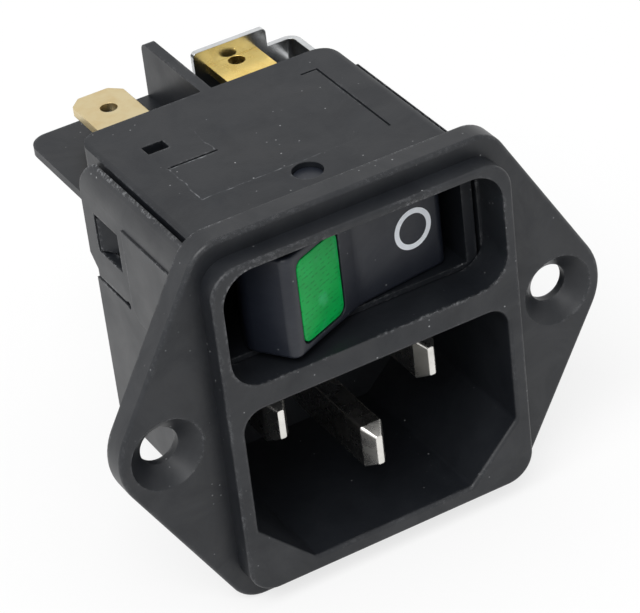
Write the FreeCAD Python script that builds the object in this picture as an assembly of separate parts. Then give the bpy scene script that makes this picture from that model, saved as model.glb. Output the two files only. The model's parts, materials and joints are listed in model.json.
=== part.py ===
import FreeCAD, Part
import math
import os
from FreeCAD import Vector

# Three-pin appliance inlet (the 10 A "C14" pattern) with a lit rocker switch above it, both in one
# screw-on panel module.  Millimetres.  +X is right as seen from the front, +Y runs back through the
# panel and +Z is up.  The origin is midway between the two screw holes, on the flange face that
# bears on the panel.  The rocker is drawn in its "off" position.

# ---------------------------------------------------------------- panel fixing and flange
HOLE_PITCH = 36.0
HOLE_D = 3.3
SINK_D = 6.3
EAR_TIP = 4.95            # sharp tip of the ear beyond its screw hole, before it is rounded
EAR_SLOPE = 60.0          # ear edges, degrees from the horizontal
EAR_R = 5.5
FLANGE_T = 2.2
FLANGE_R = 3.0
FLANGE_EDGE = 0.35
FLANGE_RIM = 1.65         # flange above and below the bezel

# ---------------------------------------------------------------- front, from the bottom up
RIM_LOW = 1.4             # bezel under the inlet
INLET_H = 15.9
BAR = 2.3                 # divider between the inlet and the switch
OPENING_H = 10.5
RIM_TOP = 0.6             # bezel over the switch

# ---------------------------------------------------------------- front, across
INLET_W = 24.2
INLET_SIDE = 1.0          # body wall beside the inlet cavity
BEZEL_OVER = 0.3          # bezel beyond the body on each side
OPENING_OVER = 0.4        # switch opening beyond the inlet cavity on each side
BEZEL_RISE = 1.9
BEZEL_R = 2.5
BEZEL_EDGE = 0.25

# ---------------------------------------------------------------- inlet cavity
INLET_CUT = 4.7           # the two sloped corners under the earth pin
INLET_CUT_R = 0.6
INLET_R = 1.8
INLET_DEPTH = 16.8
LEAD_IN = 0.35             # rounded mouth of the inlet
OPENING_R = 2.8

# ---------------------------------------------------------------- body behind the flange
BODY_BELOW = 1.15         # body under the inlet cavity
BODY_CUT = 4.9            # sloped bottom corners
BODY_CUT_R = 0.5
SHOULDER_DROP = 2.1       # the top corners have two bends
SHOULDER_IN = 0.8
SHOULDER_LOW_R = 5.0
SHOULDER_TOP_R = 1.4
SIDE_WALL = 0.9
INLET_WALL = 1.2
BACK_WALL = 2.0
SEAM = 0.35               # gap between the switch case and the side walls
SEAT = 0.5                # pocket behind the flange for the front of the case
PAD_RAISE = 0.15          # bare rating pad on the left side
PAD_LENGTH = 11.7
PAD_BOTTOM = 3.3
PAD_H = 8.3
PAD_R = 1.5

# ---------------------------------------------------------------- sprung side walls and their snap
ARM_SHORT = 2.1           # arm end in front of the case's back
ARM_R = 3.4
ARM_FOOT = 1.15           # how far the arm's lower corner steps in
ARM_FOOT_LOW = 0.8
ARM_FOOT_HIGH = 1.9
WINDOW_BACK = 2.05        # wall left behind the snap window
WINDOW_L = 4.15
WINDOW_H = 3.55
WINDOW_UP = 2.7           # window above the opening's lower edge
TONGUE_L = 1.8
TONGUE_H = 3.1
TONGUE_UP = 0.15
TONGUE_OUT = 0.9
TONGUE_GAP = 0.35
SLIT_H = 0.35
SLIT_DROP = 0.35          # middle of the slit below the case
SLIT_L = 6.4
SLIT_END_D = 0.7

# ---------------------------------------------------------------- switch case
CASE_R = 1.8
CASE_TOP_WALL = 0.9
CASE_FLOOR = 0.5
CASE_SIDE = 1.0
CASE_BACK = 1.3
FIT = 0.06                # sliding fit of the case on the divider
FRONT_GAP = 0.1
SHELF_UP = 5.1            # top of the shelf above the case's floor
SHELF_T = 0.8
SHELF_OUT = 0.2
BARRIER_OVER = 1.7        # barriers beyond the tips of the tabs
BARRIER_R = 1.8
FIN_X = 0.12
FIN_T = 1.0
FIN_R = 0.8
MARK_DEPTH = 0.15         # fine seams in the top of the case
SEAM_LINE_W = 0.2
SEAM_LINE_IN = 2.85
SEAM_LINE_FRONT = 6.5
SEAM_LINE_BACK = 2.9
SEAM_LINE_L = 1.6
CORE_IN = 3.45            # core openings in the top of the case
CORE_W = 1.9
CORE_L = 1.3
CORE_BACK = 4.8
CORE_SLOT_IN = 3.7
CORE_SLOT_L = 4.45
CORE_SLOT_BACK = 8.9

# ---------------------------------------------------------------- rocker
PIVOT_X = 0.35
PIVOT_BEHIND = 8.95       # pivot behind the bezel face
TILT = 15.5               # either side of the middle
ROCKER_GAP = 0.07         # above and below the rocker
ROCKER_MID_X = -0.77      # middle of the rocker's faces, measured from the pivot
RIDGE_IN = 2.34           # ridges in from the case's inner walls
END_IN = 0.87
BACK_IN = 3.75
RIDGE_Y = -6.67           # these depths are measured from the pivot
VALLEY_Y = -5.4
END_Y = -2.4
ROCKER_BACK = 1.2
RIDGE_R = 0.9
VALLEY_R = 3.0
END_R = 1.5
BACK_R = 1.0
ROCKER_EDGE = 0.4
TRUNNION_D = 2.5
BEARING_D = 2.6
TRUNNION_L = 0.5
BOSS_D = 4.6
BOSS_END = 5.2

# ---------------------------------------------------------------- lens and lamp
LENS_T = 1.0
LENS_NEAR = 1.05          # lens edges, measured from the left ridge down the sloped face
LENS_FAR = 6.45
LENS_H = 7.75
LENS_R = 0.8
LENS_PROUD = 0.08
LENS_FIT = 0.04
LAMP_D = 3.6
LAMP_L = 6.6
LAMP_DEPTH = 3.0          # lamp's middle behind the sloped face
LAMP_SPACE = 0.35
LAMP_END_SPACE = 0.15
RESISTOR_D = 1.8
RESISTOR_L = 4.2
RESISTOR_X = 4.6
RESISTOR_Y = -1.9
RESISTOR_EDGE = 0.3
RESISTOR_SPACE = 0.2
LEAD_D = 0.5
LEAD_FIT = 0.05
LINK_LEAD_DROP = 2.6      # linking lead below the rocker's middle
LAMP_UP = 3.1             # lamp springs above the rocker's middle
LAMP_PAD_D = 2.2
LAMP_PAD_T = 0.3
LAMP_SPRING_D = 2.0
LAMP_WIRE = 0.25
LAMP_TURNS = 7

# ---------------------------------------------------------------- plunger and contacts
PLUNGER_D = 3.0
PLUNGER_FIT = 0.05
PLUNGER_START = 2.9
PLUNGER_SHOULDER = 5.6
PLUNGER_TIP_AT = 6.9
PLUNGER_TIP_R = 1.15
PLUNGER_PLAY = 0.13       # between the plunger's tip and the moving contact
SPRING_START = -1.5
SPRING_WIRE = 0.3
SPRING_D = 2.4
SPRING_TURNS = 6
SEESAW_T = 0.6
SEESAW_H = 3.6
SEESAW_ARM = 6.2
SEESAW_VEE = 12.0
SEESAW_SWING = 10.0
SEESAW_R = 0.3
RIVET_AT = 5.2
RIVET_D = 2.6
RIVET_T = 0.5
RIVET_EDGE = 0.15
FIXED_D = 2.8
CONTACT_GAP = 0.04        # left between the closed contacts
KNIFE_GAP = 0.03
NOTCH = 0.6
NOTCH_W = 1.4
LUG_W = 0.8
LUG_H = 0.4
LUG_L = 1.0

# ---------------------------------------------------------------- terminals
STRIP_T = 0.8
TAB_W = 4.8
TAB_X = 6.1
TAB_UP = 3.5              # top of the tabs above the rocker's middle
TAB_OUT = 9.1             # tabs beyond the case's back
TAB_CUT = 1.0
TAB_TIP_R = 0.3
TAB_HOLE_D = 1.5
TAB_HOLE_BACK = 3.0
TAB_FIT = 0.1
TAB_ROOT = 2.0
LIP_BEHIND = 1.37         # lips behind the knife edge
LIP_OVER = 0.2
CROSS_BEHIND = 2.4        # crossing strip behind the lips
CROSS_DROP = 1.8
CROSS_H = 2.1
CROSS_SPACE = 1.7
CONTACT_BLADE_DOWN = 1.8
CONTACT_BLADE_UP = 1.6
CONTACT_BLADE_OVER = 0.2
PIVOT_BLADE_W = 4.0
PIVOT_BLADE_OVER = 0.5
PIVOT_STEP_DROP = 2.9
PIVOT_LEG_W = 3.2

# ---------------------------------------------------------------- inlet pins
PIN_PITCH = 14.0
PIN_W = 2.0
PIN_H = 4.0
PIN_EDGE = 0.25
PIN_UP = 10.55            # line and neutral pins above the bottom of the cavity
EARTH_UP = 6.45
PIN_SETBACK = 4.1         # tips behind the bezel face
EARTH_SETBACK = 1.3
PIN_TAPER = 1.2
PIN_TIP_W = 0.55
PIN_TIP_H = 2.7
PIN_TIP_EDGE = 0.15
PIN_FIT = 0.03
COLLAR = 0.6
COLLAR_T = 0.8
COLLAR_GAP = 0.2
TAIL_W = 1.2
TAIL_H = 3.0
TAIL_OUT = 0.7            # pin tails beyond their links

# ---------------------------------------------------------------- links
LINK_T = 0.5
LINK_EDGE = 1.3
LINK_CLEAR = 0.1
LIVE_LINK_DROP = 2.55     # live link below the top of the inlet cavity
LIVE_LINK_H = 2.0
LOW_LEG_W = 2.3
LEG_W = 1.6
LEG_JOG_UP = 0.65
LEG_JOG_H = 1.0
OUTER_LINK_BACK = 2.2     # outer link in front of the tips of the tabs
OUTER_LINK_LEFT = 2.5
OUTER_LINK_STEP = 9.5
OUTER_LINK_RISE = 1.5
OUTER_LINK_OVER = 0.3
OUTER_LINK_H = 2.2
OUTER_LINK_R = 0.4
CHANNEL = 0.1
BEND_R = 0.6

# ---------------------------------------------------------------- rear plate
REAR_PLATE_T = 1.2
REAR_PLATE_BEHIND = 2.2
EARTH_TAB_OUT = 8.0

# ---------------------------------------------------------------- heights that follow
BEZEL_H = RIM_LOW + INLET_H + BAR + OPENING_H + RIM_TOP
FLANGE_H = BEZEL_H + 2 * FLANGE_RIM
INLET_LOW = -BEZEL_H / 2 + RIM_LOW
INLET_TOP = INLET_LOW + INLET_H
OPENING_LOW = INLET_TOP + BAR
OPENING_TOP = OPENING_LOW + OPENING_H
SWITCH_Z = OPENING_LOW + OPENING_H / 2
CASE_LOW = OPENING_LOW + FIT
CASE_IN_LOW = CASE_LOW + CASE_FLOOR
ROCKER_LOW = CASE_IN_LOW + ROCKER_GAP
ROCKER_H = 2 * (SWITCH_Z - ROCKER_LOW)
CASE_IN_TOP = ROCKER_LOW + ROCKER_H + ROCKER_GAP
BODY_TOP = CASE_IN_TOP + CASE_TOP_WALL
BODY_BOTTOM = INLET_LOW - BODY_BELOW
SLIT_Z = OPENING_LOW - SLIT_DROP
WINDOW_LOW = OPENING_LOW + WINDOW_UP
SHELF_TOP = CASE_IN_LOW + SHELF_UP
LAMP_Z = SWITCH_Z + LAMP_UP
LINK_LEAD_Z = SWITCH_Z - LINK_LEAD_DROP
TAB_TOP = SWITCH_Z + TAB_UP
TAB_LOW = TAB_TOP - STRIP_T
PIN_Z = INLET_LOW + PIN_UP
EARTH_Z = INLET_LOW + EARTH_UP
LIVE_LINK_LOW = INLET_TOP - LIVE_LINK_DROP
LIVE_LINK_TOP = LIVE_LINK_LOW + LIVE_LINK_H
LINK_LOW = PIN_Z - TAIL_H / 2 - LINK_EDGE
LEG_JOG_Z = INLET_TOP + LEG_JOG_UP
OUTER_LINK_TOP = TAB_TOP - OUTER_LINK_OVER
OUTER_LINK_BOTTOM = OUTER_LINK_TOP - OUTER_LINK_H
OUTER_LINK_TALL = TAB_TOP + OUTER_LINK_RISE
PIVOT_STEP_Z = SWITCH_Z - PIVOT_STEP_DROP

# ---------------------------------------------------------------- widths that follow
EAR_REACH = HOLE_PITCH / 2 + EAR_TIP
BODY_W = INLET_W + 2 * INLET_SIDE
BEZEL_W = BODY_W + 2 * BEZEL_OVER
OPENING_W = INLET_W + 2 * OPENING_OVER
INLET_IN_X = BODY_W / 2 - INLET_WALL
WALL_X = BODY_W / 2 - SIDE_WALL
CASE_X = WALL_X - SEAM
CASE_IN_X = CASE_X - CASE_SIDE
SHELF_X = CASE_X + SHELF_OUT
ARM_X = CASE_X + LINK_CLEAR
RIDGE_SPAN = CASE_IN_X - RIDGE_IN
END_SPAN = CASE_IN_X - END_IN
BACK_SPAN = CASE_IN_X - BACK_IN
RIDGE_X = ROCKER_MID_X - RIDGE_SPAN

# ---------------------------------------------------------------- depths that follow
BEZEL_Y = -FLANGE_T - BEZEL_RISE
FLOOR_Y = BEZEL_Y + INLET_DEPTH
WELL_Y = FLOOR_Y + BACK_WALL
LINK_Y = WELL_Y + COLLAR_T + COLLAR_GAP
TAIL_Y = LINK_Y + LINK_T + TAIL_OUT
INLET_END = LINK_Y + LINK_T + REAR_PLATE_BEHIND
PIVOT_LEG_Y = LINK_Y - STRIP_T
PIVOT_Y = BEZEL_Y + PIVOT_BEHIND
SEESAW_Y = PIVOT_Y + PLUNGER_TIP_AT + PLUNGER_TIP_R + PLUNGER_PLAY + SEESAW_T
LIP_Y = SEESAW_Y + LIP_BEHIND
CROSS_Y = LIP_Y + CROSS_BEHIND
CASE_END = CROSS_Y + STRIP_T + CROSS_SPACE + CASE_BACK
ARM_END = CASE_END - ARM_SHORT
BODY_END = max(ARM_END, INLET_END)
WINDOW_REAR = ARM_END - WINDOW_BACK
WINDOW_FRONT = WINDOW_REAR - WINDOW_L
TONGUE_REAR = WINDOW_REAR - TONGUE_GAP
SLIT_FRONT = ARM_END - SLIT_L
TAB_END = CASE_END + TAB_OUT
BARRIER_END = TAB_END + BARRIER_OVER
OUTER_LINK_Y = TAB_END - OUTER_LINK_BACK
LEG_Y = WINDOW_REAR
EARTH_TAB_END = INLET_END + EARTH_TAB_OUT

# ---------------------------------------------------------------- slopes and what stands on them
LENS_SLOPE = math.atan2(VALLEY_Y - RIDGE_Y, RIDGE_SPAN)
LAMP_ALONG = (LENS_NEAR + LENS_FAR) / 2
LAMP_X = RIDGE_X + LAMP_ALONG * math.cos(LENS_SLOPE) - LAMP_DEPTH * math.sin(LENS_SLOPE)
LAMP_Y = RIDGE_Y + LAMP_ALONG * math.sin(LENS_SLOPE) + LAMP_DEPTH * math.cos(LENS_SLOPE)
TILT_SIN = math.sin(math.radians(TILT))
TILT_COS = math.cos(math.radians(TILT))
PAD_FACE = ROCKER_BACK + LAMP_PAD_T
LEFT_SPRING_X = PIVOT_X + LAMP_X * TILT_COS - PAD_FACE * TILT_SIN
RIGHT_SPRING_X = PIVOT_X + RESISTOR_X * TILT_COS - PAD_FACE * TILT_SIN
KNIFE = Vector(PIVOT_X, SEESAW_Y, SWITCH_Z)
UP = Vector(0, 0, 1)
BACK = Vector(0, 1, 0)
RIGHT = Vector(1, 0, 0)
BEFORE = 1.0              # how far a cutting shape starts outside what it cuts


# ---------------------------------------------------------------- drawing helpers
def box(x0, x1, y0, y1, z0, z1):
    return Part.makeBox(x1 - x0, y1 - y0, z1 - z0, Vector(x0, y0, z0))


def rod(centre, axis, diameter, length):
    return Part.makeCylinder(diameter / 2, length, centre, axis)


def outline(corners, place):
    """A closed wire through (u, v, radius) corners; place(u, v) gives the point in space."""
    edges = []
    starts = []
    ends = []
    arcs = []
    count = len(corners)
    for i in range(count):
        u, v, radius = corners[i]
        before = corners[i - 1]
        after = corners[(i + 1) % count]
        a = Vector(before[0] - u, before[1] - v, 0).normalize()
        b = Vector(after[0] - u, after[1] - v, 0).normalize()
        corner = Vector(u, v, 0)
        half = a.getAngle(b) / 2
        if radius <= 0 or half > math.pi / 2 - 1e-6:
            starts.append(corner)
            ends.append(corner)
            arcs.append(None)
            continue
        reach = radius / math.tan(half)
        bisector = (a + b).normalize()
        middle = corner + bisector * (radius / math.sin(half) - radius)
        starts.append(corner + a * reach)
        ends.append(corner + b * reach)
        arcs.append(middle)
    for i in range(count):
        nxt = (i + 1) % count
        if arcs[i] is not None:
            trio = [place(p.x, p.y) for p in (starts[i], arcs[i], ends[i])]
            edges.append(Part.Arc(trio[0], trio[1], trio[2]).toShape())
        if ends[i].distanceToPoint(starts[nxt]) > 1e-6:
            line = Part.LineSegment(place(ends[i].x, ends[i].y), place(starts[nxt].x, starts[nxt].y))
            edges.append(line.toShape())
    return Part.Wire(edges)


def front_prism(corners, y0, y1):
    """A prism along Y whose outline is drawn as seen from the front, in X and Z."""
    face = Part.Face(outline(corners, lambda u, v: Vector(u, y0, v)))
    return face.extrude(Vector(0, y1 - y0, 0))


def plan_prism(corners, z0, z1):
    """A prism along Z whose outline is drawn in plan, in X and Y."""
    face = Part.Face(outline(corners, lambda u, v: Vector(u, v, z0)))
    return face.extrude(Vector(0, 0, z1 - z0))


def side_prism(corners, x0, x1):
    """A prism along X whose outline is drawn from the side, in Y and Z."""
    face = Part.Face(outline(corners, lambda u, v: Vector(x0, u, v)))
    return face.extrude(Vector(x1 - x0, 0, 0))


def rectangle(x0, x1, z0, z1, radius=0.0):
    return [(x0, z0, radius), (x1, z0, radius), (x1, z1, radius), (x0, z1, radius)]


def taper(corners_a, y_a, corners_b, y_b):
    """A solid that changes evenly from one front outline to another."""
    wire_a = outline(corners_a, lambda u, v: Vector(u, y_a, v))
    wire_b = outline(corners_b, lambda u, v: Vector(u, y_b, v))
    return Part.makeLoft([wire_a, wire_b], True, True)


def coil(start, length, mean_d, wire_d, turns):
    """A round-wire compression spring that runs back along Y."""
    helix = Part.makeHelix(length / turns, length, mean_d / 2)
    section = Part.Wire(Part.makeCircle(wire_d / 2, Vector(mean_d / 2, 0, 0), BACK))
    spring = Part.Wire(helix.Edges).makePipeShell([section], True, True)
    spring.rotate(Vector(0, 0, 0), RIGHT, -90)
    spring.translate(start)
    return spring


def tilted(shape):
    """A piece drawn about the rocker's own middle, turned with it about the pivot to "off"."""
    turned = shape.copy()
    turned.rotate(Vector(0, 0, 0), UP, TILT)
    turned.translate(Vector(PIVOT_X, PIVOT_Y, 0))
    return turned


def carve(shape, tools):
    for tool in tools:
        shape = shape.cut(tool)
    return shape


def save(name, shape):
    tidy = shape.removeSplitter()
    solid = tidy if tidy.isValid() else shape
    if len(solid.Solids) != 1:
        raise ValueError("%s has %d solids" % (name, len(solid.Solids)))
    solid.Solids[0].exportStep("parts/%s.step" % name)
    print("%-22s %9.2f mm3  valid %s" % (name, solid.Volume, solid.isValid()))


# ---------------------------------------------------------------- outlines that several pieces share
def flange_corners():
    half = FLANGE_H / 2
    shoulder = EAR_REACH - half / math.tan(math.radians(EAR_SLOPE))
    return [
        (-shoulder, -half, FLANGE_R), (shoulder, -half, FLANGE_R), (EAR_REACH, 0, EAR_R),
        (shoulder, half, FLANGE_R), (-shoulder, half, FLANGE_R), (-EAR_REACH, 0, EAR_R),
    ]


def inlet_corners():
    """The inlet cavity seen from the front: a rectangle with its two lower corners cut off."""
    half = INLET_W / 2
    return [
        (INLET_CUT - half, INLET_LOW, INLET_CUT_R), (half - INLET_CUT, INLET_LOW, INLET_CUT_R),
        (half, INLET_LOW + INLET_CUT, INLET_CUT_R), (half, INLET_TOP, INLET_R),
        (-half, INLET_TOP, INLET_R), (-half, INLET_LOW + INLET_CUT, INLET_CUT_R),
    ]


def body_corners(inset):
    """The body behind the flange, seen from the front, with two bends at each top corner."""
    half = BODY_W / 2 - inset
    top = BODY_TOP - inset
    low = BODY_BOTTOM + inset
    cut = BODY_CUT - inset * (2 - math.sqrt(2))
    low_r = SHOULDER_LOW_R - inset
    top_r = SHOULDER_TOP_R - inset
    return [
        (-half + cut, low, BODY_CUT_R), (half - cut, low, BODY_CUT_R), (half, low + cut, BODY_CUT_R),
        (half, top - SHOULDER_DROP, low_r), (half - SHOULDER_IN, top, top_r),
        (-half + SHOULDER_IN, top, top_r), (-half, top - SHOULDER_DROP, low_r),
        (-half, low + cut, BODY_CUT_R),
    ]


def bezel_corners():
    return rectangle(-BEZEL_W / 2, BEZEL_W / 2, -BEZEL_H / 2, BEZEL_H / 2, BEZEL_R)


def opening_corners():
    return rectangle(-OPENING_W / 2, OPENING_W / 2, OPENING_LOW, OPENING_TOP, OPENING_R)


# ---------------------------------------------------------------- front housing
def flange_and_bezel():
    plate = front_prism(flange_corners(), -FLANGE_T, 0)
    front_edges = [e for e in plate.Edges if abs(e.BoundBox.YMax + FLANGE_T) < 1e-6]
    plate = plate.makeFillet(FLANGE_EDGE, front_edges)
    rim = front_prism(bezel_corners(), BEZEL_Y, -FLANGE_T)
    rim_edges = [e for e in rim.Edges if abs(e.BoundBox.YMax - BEZEL_Y) < 1e-6]
    rim = rim.makeFillet(BEZEL_EDGE, rim_edges)
    rim = rim.cut(front_prism(inlet_corners(), BEZEL_Y - BEFORE, 0))
    mouth_edges = [e for e in rim.Edges if abs(e.BoundBox.YMax - BEZEL_Y) < 1e-6
                   and abs(e.BoundBox.Center.x) < (INLET_W + BEZEL_W) / 4
                   and e.BoundBox.ZMin > INLET_LOW - BEFORE and e.BoundBox.ZMax < INLET_TOP + BEFORE]
    return plate.fuse(rim.makeFillet(LEAD_IN, mouth_edges))


def screw_hole(x):
    """A through hole with a 90 degree countersink."""
    hole = rod(Vector(x, -FLANGE_T - BEFORE, 0), BACK, HOLE_D, FLANGE_T + 2 * BEFORE)
    depth = (SINK_D - HOLE_D) / 2
    sink = Part.makeCone(SINK_D / 2, HOLE_D / 2, depth, Vector(x, -FLANGE_T, 0), BACK)
    return hole.fuse(sink)


def across_side_wall(side):
    """The two x limits of a tool that cuts right through one side wall."""
    inner = side * (WALL_X - BEFORE)
    outer = side * (BODY_W / 2 + BEFORE)
    return min(inner, outer), max(inner, outer)


def arm_end_trim(side):
    """What is taken off the back of one side wall to leave its rounded, stepped end."""
    x0, x1 = across_side_wall(side)
    near = ARM_END - SLIT_L
    far = BODY_END + BEFORE
    high = BODY_TOP + BEFORE
    blank = side_prism([(near, SLIT_Z, 0), (far, SLIT_Z, 0), (far, high, 0), (near, high, 0)], x0, x1)
    foot = ARM_END - ARM_FOOT
    arm = side_prism([(near - BEFORE, SLIT_Z, 0), (foot, SLIT_Z, 0), (foot, SLIT_Z + ARM_FOOT_LOW, 0),
                      (ARM_END, SLIT_Z + ARM_FOOT_HIGH, 0), (ARM_END, BODY_TOP, ARM_R),
                      (near - BEFORE, BODY_TOP, 0)], x0, x1)
    return blank.cut(arm)


def arm_slit(side):
    """The slit that frees a side wall from the divider, with a round hole at its front end."""
    x0, x1 = across_side_wall(side)
    low = SLIT_Z - SLIT_H / 2
    slit = box(x0, x1, SLIT_FRONT, BODY_END + BEFORE, low, SLIT_Z + SLIT_H / 2)
    ledge_x = side * WALL_X
    ledge = box(min(ledge_x, ledge_x - side * BEFORE), max(ledge_x, ledge_x - side * BEFORE), SLIT_FRONT,
                BODY_END + BEFORE, low, OPENING_LOW)
    dot = rod(Vector(x0, SLIT_FRONT, SLIT_Z), RIGHT, SLIT_END_D, x1 - x0)
    return slit.fuse([ledge, dot])


def snap_window(side):
    x0, x1 = across_side_wall(side)
    return box(x0, x1, WINDOW_FRONT, WINDOW_REAR, WINDOW_LOW, WINDOW_LOW + WINDOW_H)


def rating_pad():
    """The bare raised pad on the left side wall."""
    x = -BODY_W / 2
    top = PAD_BOTTOM + PAD_H
    return side_prism([(0, PAD_BOTTOM, 0), (PAD_LENGTH, PAD_BOTTOM, PAD_R), (PAD_LENGTH, top, 0),
                       (0, top, 0)], x - PAD_RAISE, x + PAD_RAISE)


def make_front_housing():
    body = front_prism(body_corners(0), -SEAT, BODY_END)
    body = body.cut(box(-BODY_W, BODY_W, INLET_END, BODY_END + BEFORE, BODY_BOTTOM - BEFORE, SLIT_Z))
    chamber = front_prism(body_corners(0), -SEAT, BODY_END + BEFORE)
    chamber = chamber.common(box(-WALL_X, WALL_X, -SEAT, BODY_END + BEFORE, OPENING_LOW, BODY_TOP))
    well = front_prism(body_corners(INLET_WALL), WELL_Y, INLET_END + BEFORE)
    well = well.common(box(-BODY_W, BODY_W, WELL_Y, INLET_END + BEFORE, BODY_BOTTOM, INLET_TOP))
    shape = body.fuse(flange_and_bezel()).cut(chamber).cut(well).fuse(rating_pad())
    cavity = front_prism(inlet_corners(), BEZEL_Y - BEFORE, FLOOR_Y)
    opening = front_prism(opening_corners(), BEZEL_Y - BEFORE, -SEAT)
    tools = [cavity, opening, screw_hole(-HOLE_PITCH / 2), screw_hole(HOLE_PITCH / 2)]
    for side in (-1, 1):
        tools += [arm_end_trim(side), arm_slit(side), snap_window(side)]
    for x, z in ((-PIN_PITCH / 2, PIN_Z), (PIN_PITCH / 2, PIN_Z), (0, EARTH_Z)):
        half_w = PIN_W / 2 + PIN_FIT
        half_h = PIN_H / 2 + PIN_FIT
        tools.append(box(x - half_w, x + half_w, FLOOR_Y - BEFORE, WELL_Y + BEFORE, z - half_h, z + half_h))
    tools.append(leg_slot(INLET_TOP - BEFORE, OPENING_LOW + BEFORE))
    tools += strip_leg(CHANNEL, INLET_IN_X - CHANNEL, BODY_END + BEFORE)
    return carve(shape, tools)


def leg_slot(z0, z1):
    """Where the pivot terminal's leg passes down from the switch to the inlet."""
    half = PIVOT_LEG_W / 2 + CHANNEL
    return box(PIVOT_X - half, PIVOT_X + half, PIVOT_LEG_Y - CHANNEL, PIVOT_LEG_Y + STRIP_T + CHANNEL, z0, z1)


def strip_leg(grow, x0, arm_to_y):
    """The neutral link inside the right wall: a low leg, a step past the snap tongue, an upper leg
    and the arm that runs back.  With grow it is the groove that all of them lie in."""
    x1 = ARM_X + LINK_T + grow
    jog_low = LEG_JOG_Z - LEG_JOG_H - grow
    low_leg = box(x0, x1, LINK_Y - grow, LINK_Y + LOW_LEG_W + grow, LINK_LOW - grow, LEG_JOG_Z)
    jog = box(x0, x1, min(LINK_Y, LEG_Y) - grow, max(LINK_Y + LOW_LEG_W, LEG_Y + LEG_W) + grow, jog_low,
              LEG_JOG_Z + grow)
    upper_leg = box(x0, x1, LEG_Y - grow, LEG_Y + LEG_W + grow, jog_low, OUTER_LINK_TOP + grow)
    arm = box(x0, x1, LEG_Y - grow, arm_to_y, OUTER_LINK_BOTTOM - grow, OUTER_LINK_TOP + grow)
    return [low_leg, jog, upper_leg, arm]


# ---------------------------------------------------------------- switch case with its rear barriers
def make_switch_case():
    front = FRONT_GAP - SEAT
    envelope = front_prism(body_corners(0), front, CASE_END)
    plan = plan_prism([(-CASE_X, front, 0), (CASE_X, front, 0), (CASE_X, CASE_END, CASE_R),
                       (-CASE_X, CASE_END, CASE_R)], CASE_LOW, BODY_TOP)
    shell = envelope.common(plan)
    back_wall = CASE_END - CASE_BACK
    inside = box(-CASE_IN_X, CASE_IN_X, front - BEFORE, back_wall, CASE_IN_LOW, CASE_IN_TOP)
    shell = shell.cut(inside)
    shelf = plan_prism([(-SHELF_X, back_wall, 0), (SHELF_X, back_wall, 0), (SHELF_X, BARRIER_END, BARRIER_R),
                        (-SHELF_X, BARRIER_END, BARRIER_R)], SHELF_TOP - SHELF_T, SHELF_TOP)
    fin = side_prism([(back_wall, SHELF_TOP - SHELF_T, 0), (BARRIER_END, SHELF_TOP - SHELF_T, 0),
                      (BARRIER_END, BODY_TOP, FIN_R), (back_wall, BODY_TOP, 0)],
                     FIN_X - FIN_T / 2, FIN_X + FIN_T / 2)
    shape = shell.fuse([shelf, fin, side_tongue(-1), side_tongue(1)])
    cuts = [rod(Vector(PIVOT_X, PIVOT_Y, CASE_LOW - BEFORE), UP, BEARING_D, BODY_TOP - CASE_LOW + 2 * BEFORE)]
    cuts.append(leg_slot(CASE_LOW - BEFORE, CASE_IN_LOW + BEFORE))
    for x in (-TAB_X, TAB_X):
        half = TAB_W / 2 + TAB_FIT
        cuts.append(box(x - half, x + half, back_wall - BEFORE, CASE_END + BEFORE, TAB_LOW - TAB_FIT,
                        TAB_TOP + TAB_FIT))
    return carve(shape, cuts + top_marks())


def side_tongue(side):
    """The wedge on the case that snaps into the side wall's window: ramp in front, catch behind."""
    front = TONGUE_REAR - TONGUE_L
    low = WINDOW_LOW + TONGUE_UP
    root = side * (CASE_X - SEAM)
    return plan_prism([(root, front - SEAM, 0), (root, TONGUE_REAR, 0),
                       (side * (CASE_X + SEAM + TONGUE_OUT), TONGUE_REAR, 0), (side * CASE_X, front, 0)],
                      low, low + TONGUE_H)


def top_marks():
    """Core openings and fine seams in the top of the case."""
    through = CASE_IN_TOP - BEFORE
    deep = BODY_TOP - MARK_DEPTH
    high = BODY_TOP + BEFORE
    core_x = -CASE_X + CORE_IN
    core_y = CASE_END - CORE_BACK
    slot_x = -CASE_X + CORE_SLOT_IN
    slot_y = CASE_END - CORE_SLOT_BACK
    line_x = CASE_X - SEAM_LINE_IN
    line_y = CASE_END - SEAM_LINE_BACK
    return [
        box(core_x, core_x + CORE_W, core_y - CORE_L, core_y, through, high),
        box(slot_x, slot_x + CORE_SLOT_L, slot_y - SEAM_LINE_W, slot_y, through, high),
        box(line_x - SEAM_LINE_W, line_x, SEAM_LINE_FRONT, line_y, deep, high),
        box(line_x - SEAM_LINE_L, line_x, line_y - SEAM_LINE_W, line_y, deep, high),
    ]


# ---------------------------------------------------------------- rocker, drawn about its own pivot
def rocker_profile():
    return [
        (ROCKER_MID_X - RIDGE_SPAN, RIDGE_Y, RIDGE_R), (ROCKER_MID_X, VALLEY_Y, VALLEY_R),
        (ROCKER_MID_X + RIDGE_SPAN, RIDGE_Y, RIDGE_R), (ROCKER_MID_X + END_SPAN, END_Y, END_R),
        (ROCKER_MID_X + BACK_SPAN, ROCKER_BACK, BACK_R), (ROCKER_MID_X - BACK_SPAN, ROCKER_BACK, BACK_R),
        (ROCKER_MID_X - END_SPAN, END_Y, END_R),
    ]


def lens_blank(grow, y0, y1):
    """The lens outline, front at y = 0, laid on the rocker's sloped left face."""
    half = LENS_H / 2 + grow
    blank = front_prism(rectangle(LENS_NEAR - grow, LENS_FAR + grow, -half, half, LENS_R), y0, y1)
    blank.rotate(Vector(0, 0, 0), UP, math.degrees(LENS_SLOPE))
    blank.translate(Vector(RIDGE_X, RIDGE_Y, SWITCH_Z))
    return blank


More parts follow.
